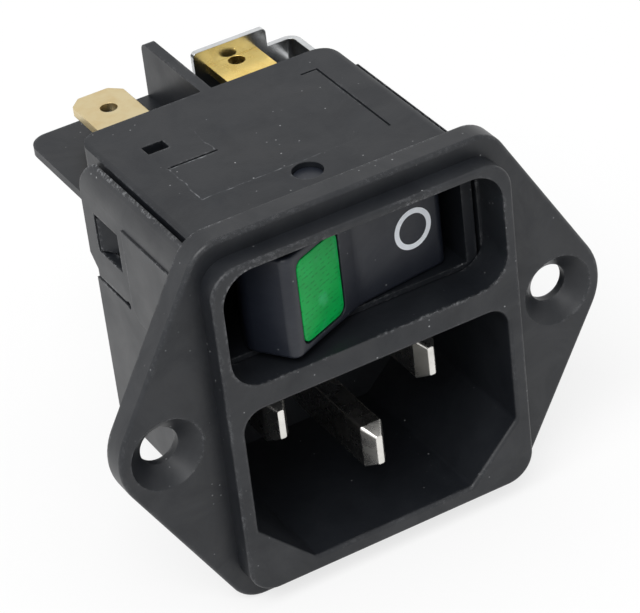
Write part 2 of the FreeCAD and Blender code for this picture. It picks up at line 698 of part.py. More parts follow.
def lead_holes():
    """Drillings for the lamp's wires."""
    width = LEAD_D + 2 * LEAD_FIT
    low = LINK_LEAD_Z - width / 2
    return [
        rod(Vector(LAMP_X, LAMP_Y, LAMP_Z), BACK, width, ROCKER_BACK - LAMP_Y + BEFORE),
        rod(Vector(RESISTOR_X, RESISTOR_Y, LAMP_Z), BACK, width, ROCKER_BACK - RESISTOR_Y + BEFORE),
        rod(Vector(RESISTOR_X, RESISTOR_Y, low), UP, width, LAMP_Z - low + width / 2),
        rod(Vector(LAMP_X, RESISTOR_Y, LINK_LEAD_Z), RIGHT, width, RESISTOR_X - LAMP_X + width / 2),
    ]


def make_rocker():
    body = plan_prism(rocker_profile(), ROCKER_LOW, ROCKER_LOW + ROCKER_H)
    face_edges = [e for e in body.Edges if e.BoundBox.ZLength < 1e-6 and e.BoundBox.YMax < END_Y + BACK_R]
    body = body.makeFillet(ROCKER_EDGE, face_edges)
    boss = rod(Vector(0, 0, SWITCH_Z), BACK, BOSS_D, BOSS_END)
    trunnions = rod(Vector(0, 0, ROCKER_LOW - TRUNNION_L), UP, TRUNNION_D, ROCKER_H + 2 * TRUNNION_L)
    body = body.fuse([boss, trunnions])
    bore = rod(Vector(0, SPRING_START, SWITCH_Z), BACK, PLUNGER_D + 2 * PLUNGER_FIT,
               BOSS_END - SPRING_START + BEFORE)
    seat = lens_blank(LENS_FIT, -BEFORE, LENS_T)
    half = LAMP_D / 2 + LAMP_SPACE
    half_z = LAMP_L / 2 + LAMP_END_SPACE
    lamp_space = box(LAMP_X - half, LAMP_X + half, VALLEY_Y - BEFORE, LAMP_Y + half, SWITCH_Z - half_z,
                     SWITCH_Z + half_z)
    nook = RESISTOR_D / 2 + RESISTOR_SPACE
    nook_z = RESISTOR_L / 2 + LEAD_FIT
    resistor_space = box(RESISTOR_X - nook, RESISTOR_X + nook, RESISTOR_Y - nook, ROCKER_BACK + BEFORE,
                         SWITCH_Z - nook_z, SWITCH_Z + nook_z)
    return carve(body, [bore, seat, lamp_space, resistor_space] + lead_holes())


def make_lens():
    return lens_blank(0, -LENS_PROUD, LENS_T - LENS_FIT / 2)


def make_lamp():
    """A small neon tube: a glass cylinder with domed ends, standing behind the lens."""
    radius = LAMP_D / 2
    straight = LAMP_L - LAMP_D
    low = Vector(LAMP_X, LAMP_Y, SWITCH_Z - straight / 2)
    high = Vector(LAMP_X, LAMP_Y, SWITCH_Z + straight / 2)
    tube = rod(low, UP, LAMP_D, straight)
    return tube.fuse([Part.makeSphere(radius, low), Part.makeSphere(radius, high)])


def make_resistor():
    start = Vector(RESISTOR_X, RESISTOR_Y, SWITCH_Z - RESISTOR_L / 2)
    body = rod(start, UP, RESISTOR_D, RESISTOR_L)
    rims = [e for e in body.Edges if e.Curve.TypeId == "Part::GeomCircle"]
    return body.makeFillet(RESISTOR_EDGE, rims)


def lead_pad(x):
    return rod(Vector(x, ROCKER_BACK, LAMP_Z), BACK, LAMP_PAD_D, LAMP_PAD_T)


def make_live_lead():
    """Wire from the lamp through the rocker to the pad that the left lamp spring presses on."""
    wire = rod(Vector(LAMP_X, LAMP_Y, LAMP_Z), BACK, LEAD_D, ROCKER_BACK - LAMP_Y)
    return wire.fuse(lead_pad(LAMP_X)).cut(make_lamp())


def make_link_lead():
    """Wire from the lamp's side across under the plunger to the bottom of the resistor."""
    low = SWITCH_Z - RESISTOR_L / 2
    run = rod(Vector(LAMP_X, RESISTOR_Y, LINK_LEAD_Z), RIGHT, LEAD_D, RESISTOR_X - LAMP_X)
    knee = Part.makeSphere(LEAD_D / 2, Vector(RESISTOR_X, RESISTOR_Y, LINK_LEAD_Z))
    rise = rod(Vector(RESISTOR_X, RESISTOR_Y, LINK_LEAD_Z), UP, LEAD_D, low - LINK_LEAD_Z)
    return run.fuse([knee, rise]).cut(make_lamp())


def make_neutral_lead():
    """Wire from the resistor's top through the rocker to the pad of the right lamp spring."""
    top = SWITCH_Z + RESISTOR_L / 2
    rise = rod(Vector(RESISTOR_X, RESISTOR_Y, top), UP, LEAD_D, LAMP_Z - top)
    knee = Part.makeSphere(LEAD_D / 2, Vector(RESISTOR_X, RESISTOR_Y, LAMP_Z))
    run = rod(Vector(RESISTOR_X, RESISTOR_Y, LAMP_Z), BACK, LEAD_D, ROCKER_BACK - RESISTOR_Y)
    return rise.fuse([knee, run, lead_pad(RESISTOR_X)])


def make_plunger():
    """The sprung pin that slides in the rocker's boss and tips the moving contact."""
    body = rod(Vector(0, PLUNGER_START, SWITCH_Z), BACK, PLUNGER_D, PLUNGER_SHOULDER - PLUNGER_START)
    cone = Part.makeCone(PLUNGER_D / 2, PLUNGER_TIP_R, PLUNGER_TIP_AT - PLUNGER_SHOULDER,
                         Vector(0, PLUNGER_SHOULDER, SWITCH_Z), BACK)
    tip = Part.makeSphere(PLUNGER_TIP_R, Vector(0, PLUNGER_TIP_AT, SWITCH_Z))
    return body.fuse([cone, tip])


def make_plunger_spring():
    length = PLUNGER_START - SPRING_START - SPRING_WIRE
    start = Vector(0, SPRING_START + SPRING_WIRE / 2, SWITCH_Z)
    return coil(start, length, SPRING_D - SPRING_WIRE, SPRING_WIRE, SPRING_TURNS)


# ---------------------------------------------------------------- contacts
def contact_point(u, depth, swing):
    """A point on the moving contact's right arm: u along it, depth behind its front face."""
    lean = math.radians(SEESAW_VEE - swing)
    turn = math.radians(swing)
    vertex = Vector(SEESAW_T * math.sin(turn), -SEESAW_T * math.cos(turn), 0)
    along = Vector(math.cos(lean), -math.sin(lean), 0)
    behind = Vector(math.sin(lean), math.cos(lean), 0)
    return KNIFE + vertex + along * u + behind * depth


def seesawed(shape):
    """A piece of the moving contact, swung to "off" about the knife edge."""
    turned = shape.copy()
    turned.rotate(Vector(0, 0, 0), UP, -SEESAW_SWING / 2)
    turned.translate(KNIFE)
    return turned


def make_seesaw():
    """The moving contact: a shallow brass V whose rear vertex rocks on the pivot terminal."""
    lean = math.radians(SEESAW_VEE)
    tip = Vector(SEESAW_ARM * math.cos(lean), -SEESAW_T - SEESAW_ARM * math.sin(lean), 0)
    back = Vector(math.sin(lean), math.cos(lean), 0) * SEESAW_T
    half = SEESAW_H / 2
    outline_points = [
        (-tip.x, tip.y, 0), (0, -SEESAW_T, SEESAW_R), (tip.x, tip.y, 0),
        (tip.x + back.x, tip.y + back.y, 0), (0, 0, SEESAW_R), (-tip.x - back.x, tip.y + back.y, 0),
    ]
    bar = plan_prism(outline_points, -half, half)
    deep = SEESAW_T + SEESAW_ARM
    notches = [
        box(-NOTCH_W / 2, NOTCH_W / 2, -deep, BEFORE, half - NOTCH, half + BEFORE),
        box(-NOTCH_W / 2, NOTCH_W / 2, -deep, BEFORE, -half - BEFORE, -half + NOTCH),
    ]
    return seesawed(carve(bar, notches))


def rivet(diameter):
    head = rod(Vector(0, 0, 0), BACK, diameter, RIVET_T)
    edge = [e for e in head.Edges if e.Curve.TypeId == "Part::GeomCircle" and e.BoundBox.YMin > RIVET_T / 2]
    return head.makeFillet(RIVET_EDGE, edge)


def make_moving_contact():
    head = rivet(RIVET_D)
    lean = math.radians(SEESAW_VEE)
    head.rotate(Vector(0, 0, 0), UP, -SEESAW_VEE)
    along = Vector(math.cos(lean), -math.sin(lean), 0) * RIVET_AT
    behind = Vector(math.sin(lean), math.cos(lean), 0) * SEESAW_T
    head.translate(along + behind + Vector(0, -SEESAW_T, 0))
    return seesawed(head)


def contact_face_y():
    """Front of the fixed contact: just behind the moving one when the switch is on."""
    deepest = contact_point(RIVET_AT - RIVET_D / 2, SEESAW_T + RIVET_T, SEESAW_SWING / 2)
    return deepest.y + CONTACT_GAP


def fixed_contact_x():
    return contact_point(RIVET_AT, SEESAW_T, SEESAW_SWING / 2).x


def make_fixed_contact():
    head = rivet(FIXED_D)
    head.rotate(Vector(0, 0, 0), UP, 180)
    head.translate(Vector(fixed_contact_x(), contact_face_y() + RIVET_T, SWITCH_Z))
    return head


# ---------------------------------------------------------------- terminals
def blade(x, y0, y1, z0):
    """A push-on tab seen from above, with its tip corners cut and its detent hole."""
    half = TAB_W / 2
    corners = [
        (x - half, y0, 0), (x + half, y0, 0), (x + half, y1 - TAB_CUT, TAB_TIP_R),
        (x + half - TAB_CUT, y1, TAB_TIP_R), (x - half + TAB_CUT, y1, TAB_TIP_R),
        (x - half, y1 - TAB_CUT, TAB_TIP_R),
    ]
    hole = rod(Vector(x, y1 - TAB_HOLE_BACK, z0 - BEFORE), UP, TAB_HOLE_D, STRIP_T + 2 * BEFORE)
    return plan_prism(corners, z0, z0 + STRIP_T).cut(hole)


def lip(x, back_y):
    """The turned-down inner end of a tab, where a lamp spring bears, and the strip behind it."""
    half = LAMP_SPRING_D / 2 + LIP_OVER
    turned_down = box(x - half, x + half, LIP_Y, LIP_Y + STRIP_T, LAMP_Z - half, TAB_TOP)
    strip = box(x - half, x + half, LIP_Y, back_y, TAB_LOW, TAB_TOP)
    return turned_down.fuse(strip)


def make_neutral_tab():
    root = LIP_Y + TAB_ROOT
    return blade(TAB_X, root, TAB_END, TAB_LOW).fuse(lip(RIGHT_SPRING_X, root + STRIP_T))


def make_switched_terminal():
    """Fixed contact blade, a strip that crosses behind the pivot terminal, and the left tab."""
    face = contact_face_y() + RIVET_T
    half = FIXED_D / 2 + CONTACT_BLADE_OVER
    left = fixed_contact_x() - half
    right = fixed_contact_x() + half
    cross_low = SWITCH_Z - CROSS_DROP
    cross_top = cross_low + CROSS_H
    cross_back = CROSS_Y + STRIP_T
    carrier = box(left, right, face, face + STRIP_T, SWITCH_Z - CONTACT_BLADE_DOWN, SWITCH_Z + CONTACT_BLADE_UP)
    run_back = box(right - STRIP_T, right, face, cross_back, cross_low, cross_top)
    cross = box(-TAB_X - TAB_W / 2, right, CROSS_Y, cross_back, cross_low, cross_top)
    riser = box(-TAB_X - TAB_W / 2, -TAB_X + TAB_W / 2, CROSS_Y, cross_back, cross_low, TAB_TOP)
    tab = blade(-TAB_X, CROSS_Y, TAB_END, TAB_LOW)
    return carrier.fuse([run_back, cross, riser, lip(LEFT_SPRING_X, cross_back), tab])


def make_pivot_terminal():
    """The live terminal: a blade that carries the knife edge, stepped back and down to the inlet."""
    face = SEESAW_Y + KNIFE_GAP
    half = PIVOT_BLADE_W / 2
    leg_half = PIVOT_LEG_W / 2
    low = PIVOT_STEP_Z - STRIP_T
    carrier = box(PIVOT_X - half, PIVOT_X + half, face, face + STRIP_T, low,
                  SWITCH_Z + SEESAW_H / 2 + PIVOT_BLADE_OVER)
    step = box(PIVOT_X - leg_half, PIVOT_X + leg_half, face, PIVOT_LEG_Y + STRIP_T, low, PIVOT_STEP_Z)
    leg = box(PIVOT_X - leg_half, PIVOT_X + leg_half, PIVOT_LEG_Y, PIVOT_LEG_Y + STRIP_T, LIVE_LINK_LOW,
              PIVOT_STEP_Z)
    lugs = []
    for end in (-1, 1):
        z = SWITCH_Z + end * (SEESAW_H - NOTCH) / 2
        lugs.append(box(PIVOT_X - LUG_W / 2, PIVOT_X + LUG_W / 2, face - LUG_L, face + STRIP_T,
                        z - LUG_H / 2, z + LUG_H / 2))
    return carrier.fuse([step, leg] + lugs)


def tail_slot(x):
    """The slot in a link that a pin's tail passes through."""
    return box(x - TAIL_W / 2, x + TAIL_W / 2, LINK_Y - BEFORE, LINK_Y + LINK_T + BEFORE, PIN_Z - TAIL_H / 2,
               PIN_Z + TAIL_H / 2)


def make_live_link():
    """Flat strip from the live pin's tail across to the pivot terminal's leg."""
    x = -PIN_PITCH / 2
    half = TAIL_W / 2 + LINK_EDGE
    bar = box(x - half, PIVOT_X + PIVOT_LEG_W / 2, LINK_Y, LINK_Y + LINK_T, LIVE_LINK_LOW, LIVE_LINK_TOP)
    drop = box(x - half, x + half, LINK_Y, LINK_Y + LINK_T, LINK_LOW, LIVE_LINK_TOP)
    return bar.fuse(drop).cut(tail_slot(x))


def make_link_strip():
    """Tinned neutral link: from the neutral pin up the right wall, out of the back and across to
    the right-hand tab, which stands through a slot in it."""
    x = PIN_PITCH / 2
    outer = ARM_X + LINK_T
    rear = OUTER_LINK_Y + LINK_T
    foot = box(x - TAIL_W / 2 - LINK_EDGE, outer, LINK_Y, LINK_Y + LINK_T, LINK_LOW,
               PIN_Z + TAIL_H / 2 + LINK_EDGE)
    route = [(ARM_X, LEG_Y, 0), (outer, LEG_Y, 0), (outer, rear, BEND_R + LINK_T),
             (OUTER_LINK_LEFT, rear, 0), (OUTER_LINK_LEFT, OUTER_LINK_Y, 0), (ARM_X, OUTER_LINK_Y, BEND_R)]
    around = plan_prism(route, OUTER_LINK_BOTTOM, OUTER_LINK_TOP)
    low = OUTER_LINK_TOP - OUTER_LINK_R
    tall = front_prism([(OUTER_LINK_LEFT, low, 0), (OUTER_LINK_STEP, low, 0),
                        (OUTER_LINK_STEP, OUTER_LINK_TALL, OUTER_LINK_R),
                        (OUTER_LINK_LEFT, OUTER_LINK_TALL, OUTER_LINK_R)], OUTER_LINK_Y, rear)
    strip = around.fuse([foot, tall] + strip_leg(0, ARM_X, LEG_Y + LEG_W))
    half = TAB_W / 2
    slot = box(TAB_X - half, TAB_X + half, OUTER_LINK_Y - BEFORE, rear + BEFORE, TAB_LOW, TAB_TOP)
    return carve(strip, [slot, tail_slot(x)])


# ---------------------------------------------------------------- pins
def pin_section(x, z, width, height, radius):
    return rectangle(x - width / 2, x + width / 2, z - height / 2, z + height / 2, radius)


def pin_blank(x, z, tip_y):
    """A flat pin with a tapered tip and a collar behind the cavity's back wall."""
    root = tip_y + PIN_TAPER
    shank = pin_section(x, z, PIN_W, PIN_H, PIN_EDGE)
    nose = taper(pin_section(x, z, PIN_TIP_W, PIN_TIP_H, PIN_TIP_EDGE), tip_y, shank, root)
    bar = front_prism(shank, root, WELL_Y + COLLAR_T)
    collar = front_prism(pin_section(x, z, PIN_W + 2 * COLLAR, PIN_H + 2 * COLLAR, 0), WELL_Y,
                         WELL_Y + COLLAR_T)
    return nose.fuse([bar, collar])


def make_line_pin(x):
    """A line or neutral pin, with a thinner tail that passes through its link."""
    tail = front_prism(pin_section(x, PIN_Z, TAIL_W, TAIL_H, 0), WELL_Y, TAIL_Y)
    return pin_blank(x, PIN_Z, BEZEL_Y + PIN_SETBACK).fuse(tail)


def make_earth_pin():
    """The earth pin, whose tail is a push-on tab that stands out of the back of the inlet."""
    tab = blade(0, WELL_Y, EARTH_TAB_END, EARTH_Z - STRIP_T / 2)
    return pin_blank(0, EARTH_Z, BEZEL_Y + EARTH_SETBACK).fuse(tab)


def make_rear_plate():
    """Insulating plate that closes the back of the inlet; the earth tab stands out through it."""
    front = INLET_END - REAR_PLATE_T
    plate = front_prism(body_corners(INLET_WALL), front, INLET_END)
    plate = plate.common(box(-BODY_W, BODY_W, front, INLET_END, BODY_BOTTOM, INLET_TOP))
    half = TAB_W / 2 + TAB_FIT
    half_t = STRIP_T / 2 + TAB_FIT
    return plate.cut(box(-half, half, front - BEFORE, INLET_END + BEFORE, EARTH_Z - half_t, EARTH_Z + half_t))


def make_lamp_spring(x, pad_x):
    """A spring between a pad on the rocker's back, in its "off" position, and a tab's lip."""
    pad_y = PIVOT_Y + pad_x * TILT_SIN + PAD_FACE * TILT_COS
    start = pad_y + LAMP_SPRING_D / 2 * TILT_SIN / TILT_COS + LAMP_WIRE / 2
    length = LIP_Y - LAMP_WIRE / 2 - start
    return coil(Vector(x, start, LAMP_Z), length, LAMP_SPRING_D - LAMP_WIRE, LAMP_WIRE, LAMP_TURNS)


# ---------------------------------------------------------------- build
def build():
    os.makedirs("parts", exist_ok=True)
    save("front_housing", make_front_housing())
    save("switch_case", make_switch_case())
    save("rear_plate", make_rear_plate())
    save("rocker", tilted(make_rocker()))
    save("rocker_lens", tilted(make_lens()))
    save("neon_lamp", tilted(make_lamp()))
    save("lamp_resistor", tilted(make_resistor()))
    save("lamp_lead_live", tilted(make_live_lead()))
    save("lamp_lead_neutral", tilted(make_neutral_lead()))
    save("lamp_lead_link", tilted(make_link_lead()))
    save("contact_plunger", tilted(make_plunger()))
    save("plunger_spring", tilted(make_plunger_spring()))
    save("contact_rocker", make_seesaw())
    save("moving_contact", make_moving_contact())
    save("fixed_contact", make_fixed_contact())
    save("pivot_terminal", make_pivot_terminal())
    save("switched_terminal", make_switched_terminal())
    save("neutral_tab", make_neutral_tab())
    save("lamp_spring_live", make_lamp_spring(LEFT_SPRING_X, LAMP_X))
    save("lamp_spring_neutral", make_lamp_spring(RIGHT_SPRING_X, RESISTOR_X))
    save("live_pin", make_line_pin(-PIN_PITCH / 2))
    save("neutral_pin", make_line_pin(PIN_PITCH / 2))
    save("earth_pin", make_earth_pin())
    save("live_link", make_live_link())
    save("link_strip", make_link_strip())


build()
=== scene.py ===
# %% [markdown]
# # A panel inlet with a lit rocker switch
#
# This lesson dresses a small mains module: a black flange that screws to a panel, a shaped cavity
# with three flat pins, a rocker switch with a green window, and the push-on tabs behind. Its solids
# come ready made from a CAD model. We give them their real finishes, and model by hand the few
# pieces that are easier to shape in Blender.

# %% Load the module and measure it
import json
import math

import bpy
from mathutils import Matrix, Vector


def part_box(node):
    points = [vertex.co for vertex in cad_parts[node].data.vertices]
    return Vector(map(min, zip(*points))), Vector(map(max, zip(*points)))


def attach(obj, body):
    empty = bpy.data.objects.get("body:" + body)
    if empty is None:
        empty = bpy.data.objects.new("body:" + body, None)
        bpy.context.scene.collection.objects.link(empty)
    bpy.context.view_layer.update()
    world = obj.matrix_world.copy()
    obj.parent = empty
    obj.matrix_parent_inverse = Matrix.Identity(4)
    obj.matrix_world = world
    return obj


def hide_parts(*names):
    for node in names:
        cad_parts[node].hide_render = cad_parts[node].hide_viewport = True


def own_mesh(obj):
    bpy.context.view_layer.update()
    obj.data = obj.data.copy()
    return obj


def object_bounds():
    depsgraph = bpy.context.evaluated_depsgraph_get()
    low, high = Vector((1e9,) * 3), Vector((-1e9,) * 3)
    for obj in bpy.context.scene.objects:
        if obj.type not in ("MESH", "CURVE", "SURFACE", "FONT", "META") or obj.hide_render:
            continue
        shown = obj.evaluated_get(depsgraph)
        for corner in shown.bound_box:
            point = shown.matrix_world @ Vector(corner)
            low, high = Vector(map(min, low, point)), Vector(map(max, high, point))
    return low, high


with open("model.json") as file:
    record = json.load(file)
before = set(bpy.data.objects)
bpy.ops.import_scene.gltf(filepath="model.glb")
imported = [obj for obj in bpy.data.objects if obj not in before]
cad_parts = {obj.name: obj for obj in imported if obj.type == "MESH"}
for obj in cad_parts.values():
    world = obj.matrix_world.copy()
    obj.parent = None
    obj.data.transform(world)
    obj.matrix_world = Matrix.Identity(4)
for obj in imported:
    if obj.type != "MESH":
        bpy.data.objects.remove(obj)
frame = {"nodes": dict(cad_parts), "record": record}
nodes = frame["nodes"]
bpy.ops.object.select_all(action="DESELECT")
cad_low, cad_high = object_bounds()
MM = 0.001
print("module, mm:", [round(v / MM, 1) for v in (cad_high - cad_low)])

# %% [markdown]
# ## The camera
#
# Small products are usually seen from a distance with a long lens, which keeps parallel edges
# nearly parallel. A 176 mm lens a quarter of a metre away would need a tight frame, and that is
# what we have: the module is 44 mm wide. The camera stands to the left, in front and above, so
# that the front, the left side and the top all show.

# %% Place the camera
camera_data = bpy.data.cameras.new("studio_camera")
camera_data.lens = 175.9
camera_data.sensor_width = 36.0
camera_data.clip_start = 0.01
camera_data.clip_end = 20.0
camera = bpy.data.objects.new("studio_camera", camera_data)
camera.location = (-0.09239, -0.18210, 0.14189)
camera.rotation_euler = [math.radians(a) for a in (56.017, 5.807, -30.193)]
bpy.context.scene.collection.objects.link(camera)
bpy.context.scene.camera = camera
print("camera stands", round(camera.location.length, 3), "m from the module")

# %% [markdown]
# ## Small helpers for materials
#
# Colours are written the way a paint program shows them, as sRGB hex, and Blender wants linear
# values, so one function turns one into the other. Another adds a node, sets it up and links it.
# Four short ones do what every material needs again and again: a sum, a change of range, a mix of
# two colours, and a noise sized in millimetres. With them a whole material reads as a short list.

# %% Colour and node helpers
def linear(code):
    """An sRGB hex colour as linear RGBA."""
    values = [int(code[i:i + 2], 16) / 255 for i in (1, 3, 5)]
    values = [v / 12.92 if v <= 0.04045 else ((v + 0.055) / 1.055) ** 2.4 for v in values]
    return (*values, 1.0)


def add(tree, kind, settings=None, inputs=None):
    """A new node: settings are its own options, inputs are socket values or outputs to link."""
    new = tree.nodes.new("ShaderNode" + kind)
    for name, value in (settings or {}).items():
        setattr(new, name, value)
    for name, value in (inputs or {}).items():
        if isinstance(value, bpy.types.NodeSocket):
            tree.links.new(value, new.inputs[name])
        else:
            new.inputs[name].default_value = value
    return new


def maths(tree, operation, *values, clamp=False):
    """The result of a Math node."""
    settings = {"operation": operation, "use_clamp": clamp}
    return add(tree, "Math", settings, dict(enumerate(values))).outputs[0]


def remap(tree, value, start, end, low=0.0, high=1.0):
    """A value that goes from low to high while the given one goes from start to end."""
    return add(tree, "MapRange", inputs={"Value": value, "From Min": start, "From Max": end,
                                         "To Min": low, "To Max": high}).outputs[0]


def mix(tree, share, first, second):
    """Two colours, each a hex code or an output, mixed by a share of the second."""
    first, second = (linear(c) if isinstance(c, str) else c for c in (first, second))
    return add(tree, "MixRGB", inputs={0: share, 1: first, 2: second}).outputs[0]


def noise(tree, place, size_mm, detail=2.0, **more):
    """A noise with blotches about this size. Its other inputs go in by name."""
    return add(tree, "TexNoise", inputs={"Vector": place, "Scale": 1 / (size_mm * MM),
                                         "Detail": detail, **more}).outputs[0]


def blank_material(name):
    """A new material without nodes, and its node tree."""
    material = bpy.data.materials.new(name)
    material.use_nodes = True
    material.node_tree.nodes.clear()
    return material, material.node_tree


def on_object(tree):
    """The place on the object, which every pattern here is drawn by."""
    return add(tree, "TexCoord").outputs["Object"]


def finish_material(tree, shader):
    """Connect the last shader to the output."""
    add(tree, "OutputMaterial", inputs={"Surface": shader.outputs[0]})


def base_colour_of(material):
    """What a finished material takes as its colour, and the socket where that goes in."""
    shader = next(n for n in material.node_tree.nodes if n.type == "BSDF_PRINCIPLED")
    socket = shader.inputs["Base Color"]
    return socket.links[0].from_socket, socket


# %% [markdown]
# ## Light and floor
#
# A black part shows hardly anything but what it mirrors, so it is lit by large white surfaces all
# round. We use a white world at a plain level, one broad lamp over the left shoulder for shape, and
# a white floor. The background is white because the world and the floor are white to the camera,
# not because more light falls on the module. Metal and glass show the same white, up to the height
# where the backdrop ends and the tent begins. Heights here are the upward part of a direction: 0 is
# the horizon and 1 is straight up.

# %% Light the stage
TENT_FROM, TENT_LOW, TENT_HIGH = 0.35, 0.36, 1.1    # where it starts to brighten, and its levels
BACKDROP_WHOLE, BACKDROP_GONE = 0.45, 0.7
WHITE = linear("#FFFFFF")


def background_rays(tree, standing=1.0):
    """1 for rays that show the background, straight or in metal and glass where it is standing."""
    path = add(tree, "LightPath").outputs
    indirect = maths(tree, "MAXIMUM", path["Is Glossy Ray"], path["Is Transmission Ray"])
    reached = maths(tree, "MULTIPLY", indirect, standing)
    return maths(tree, "MAXIMUM", path["Is Camera Ray"], reached)


world = bpy.data.worlds.new("white_tent")
world.use_nodes = True
tent = world.node_tree
tent.nodes.clear()
direction = add(tent, "TexCoord").outputs["Generated"]
height = add(tent, "SeparateXYZ", inputs={0: direction}).outputs["Z"]
level = remap(tent, height, TENT_FROM, 1.0, TENT_LOW, TENT_HIGH)
light = add(tent, "Background", inputs={"Color": WHITE, "Strength": level})
seeing = background_rays(tent, remap(tent, height, BACKDROP_GONE, BACKDROP_WHOLE))
seen = add(tent, "Background", inputs={"Color": WHITE, "Strength": 1.0})
chosen = add(tent, "MixShader", inputs={0: seeing, 1: light.outputs[0], 2: seen.outputs[0]})
add(tent, "OutputWorld", inputs={"Surface": chosen.outputs[0]})
bpy.context.scene.world = world
bpy.context.scene.view_settings.view_transform = "Standard"

key_data = bpy.data.lights.new("broad_key", "AREA")
key_data.shape = "RECTANGLE"
key_data.size = 0.7
key_data.size_y = 0.5
key_data.energy = 5.6
key = bpy.data.objects.new("broad_key", key_data)
key.location = (-0.45, -0.35, 0.75)
key.rotation_euler = (-key.location).to_track_quat("-Z", "Y").to_euler()
bpy.context.scene.collection.objects.link(key)

# %% A white floor that keeps the shadow
FLOOR_SIZE = 6.0
GLOW_SHARE = 0.75       # the rest is matte paper, which darkens in the module's shadow
bpy.ops.mesh.primitive_plane_add(size=FLOOR_SIZE, location=(0, 0, cad_low.z))
floor = bpy.context.object
floor.name = "studio_floor"
paper, tree = blank_material("matte_white_paper")
matte = add(tree, "BsdfDiffuse", inputs={"Color": linear("#F4F4F4")})
glow = add(tree, "Emission", inputs={"Color": WHITE, "Strength": 1.0})
share = maths(tree, "MULTIPLY", background_rays(tree), GLOW_SHARE)
finish_material(tree, add(tree, "MixShader", inputs={0: share, 1: matte.outputs[0],
                                                     2: glow.outputs[0]}))
floor.data.materials.append(paper)
bpy.ops.object.select_all(action="DESELECT")
print("floor at", round(cad_low.z / MM, 2), "mm")

# %% [markdown]
# ## Black moulded nylon
#
# The flange, body and switch case are injection moulded from glass-filled nylon. Up close it is not
# an even black: the mould was spark-eroded, so the skin has a fine satin grain, the glass shows as
# a slow mottle, fingers leave smudges that shine less, and handling scuffs the outer edges until
# they turn grey. Tiny pale crumbs of flash and dust cling to it in patches. Each of these is one
# pattern below, sized in millimetres.
#
# Two nodes know about edges. Bevel bends the normal there, as if the edge had a small radius.
# Ambient Occlusion, looking inwards, finds the far side of the same solid only near an outer edge,
# never in an inner corner, so it tells where things rub. That is where the scuffs go.

# %% Build the moulded plastic
DUST = "#C4C6C8"


def moulded_plastic(name, colours, roughness, wear_colour, wear=0.5, grain_mm=0.16, specks=0.8,
                    edge_mm=0.12, rub_mm=0.3, specular=0.5):
    """A black moulding: two mottled colours, scuffed edges, smudges, crumbs and a satin grain."""
    material, tree = blank_material(name)
    place = on_object(tree)
    # Where the edges rub: a broken line of scuffs. Only there is the normal bent, too.
    inside = add(tree, "AmbientOcclusion", {"inside": True, "only_local": True, "samples": 2},
                 {"Distance": rub_mm * MM}).outputs["AO"]
    edge = remap(tree, inside, 0.95, 0.7)
    sharp = add(tree, "NewGeometry").outputs["Normal"]
    bevel = add(tree, "Bevel", {"samples": 4}, {"Radius": edge_mm * MM}).outputs[0]
    rounded = mix(tree, edge, sharp, bevel)
    scuff = noise(tree, place, 0.35, 6.0, Roughness=0.75)
    handled = noise(tree, place, 6.0)
    where = remap(tree, handled, 0.4, 0.6)
    rubbed = maths(tree, "MULTIPLY", edge, remap(tree, scuff, 0.49, 0.6, high=wear))
    worn = maths(tree, "MULTIPLY", rubbed, where, clamp=True)
    # Crumbs: one in a few cells of a Voronoi pattern, and only in some patches.
    crumbs = add(tree, "TexVoronoi", inputs={"Vector": place, "Scale": 1 / (0.7 * MM)}).outputs
    pick = add(tree, "SeparateColor", inputs={0: crumbs["Color"]}).outputs[0]
    here = maths(tree, "MULTIPLY", remap(tree, crumbs["Distance"], 0.12, 0.07),
                 remap(tree, pick, 0.72, 0.98, high=specks))
    speck = maths(tree, "MULTIPLY", here, where, clamp=True)
    # The colour: a slow mottle, then scuffs, then crumbs.
    mottle = noise(tree, place, 3.5, 4.0)
    aged = mix(tree, worn, mix(tree, mottle, *colours), wear_colour)
    # Smudges: where it was touched, the skin shines a little less.
    touched = noise(tree, place, 4.5, 7.0, Roughness=0.68, Distortion=0.6)
    grain = noise(tree, place, grain_mm)
    skin = add(tree, "Bump", inputs={"Strength": 0.35, "Distance": 0.012 * MM, "Height": grain,
                                     "Normal": rounded})
    finish_material(tree, add(tree, "BsdfPrincipled", inputs={
        "Base Color": mix(tree, speck, aged, DUST), "IOR": 1.5,
        "Roughness": remap(tree, mottle, 0.3, 0.7, roughness - 0.04, roughness + 0.05),
        "Specular IOR Level": remap(tree, touched, 0.4, 0.64, specular * 1.06, specular * 0.8),
        "Normal": skin.outputs[0]}))
    return material


housing_plastic = moulded_plastic("glass_filled_nylon_black", ("#14161A", "#1B1E23"), 0.42,
                                  "#A9ABAE", edge_mm=0.22)
case_plastic = moulded_plastic("moulded_nylon_case", ("#15171B", "#1C1F24"), 0.4, "#8A8C8F",
                               wear=0.35, specks=0.9, specular=0.33)
plate_plastic = moulded_plastic("pressed_fibre_plate", ("#1C1C1C", "#262524"), 0.7, "#4A4948",
                                wear=0.3, grain_mm=0.3, specks=0.2)

# %% [markdown]
# ## The witness line of the case's core
#
# The openings in the top of the case are left by a core that slides out of the mould. Where the
# core met the mould, a hair of plastic stands up and whitens when it is rubbed: a thin broken line
# round an L-shaped field. It is far too thin to model, so it is drawn in the case's colour. The
# distance to a box is the larger of the distances across and along, the field is two such boxes,
# and the line is where the smaller of their distances is nearly nought. It fades out towards the
# back and the right, where the mould closes better.

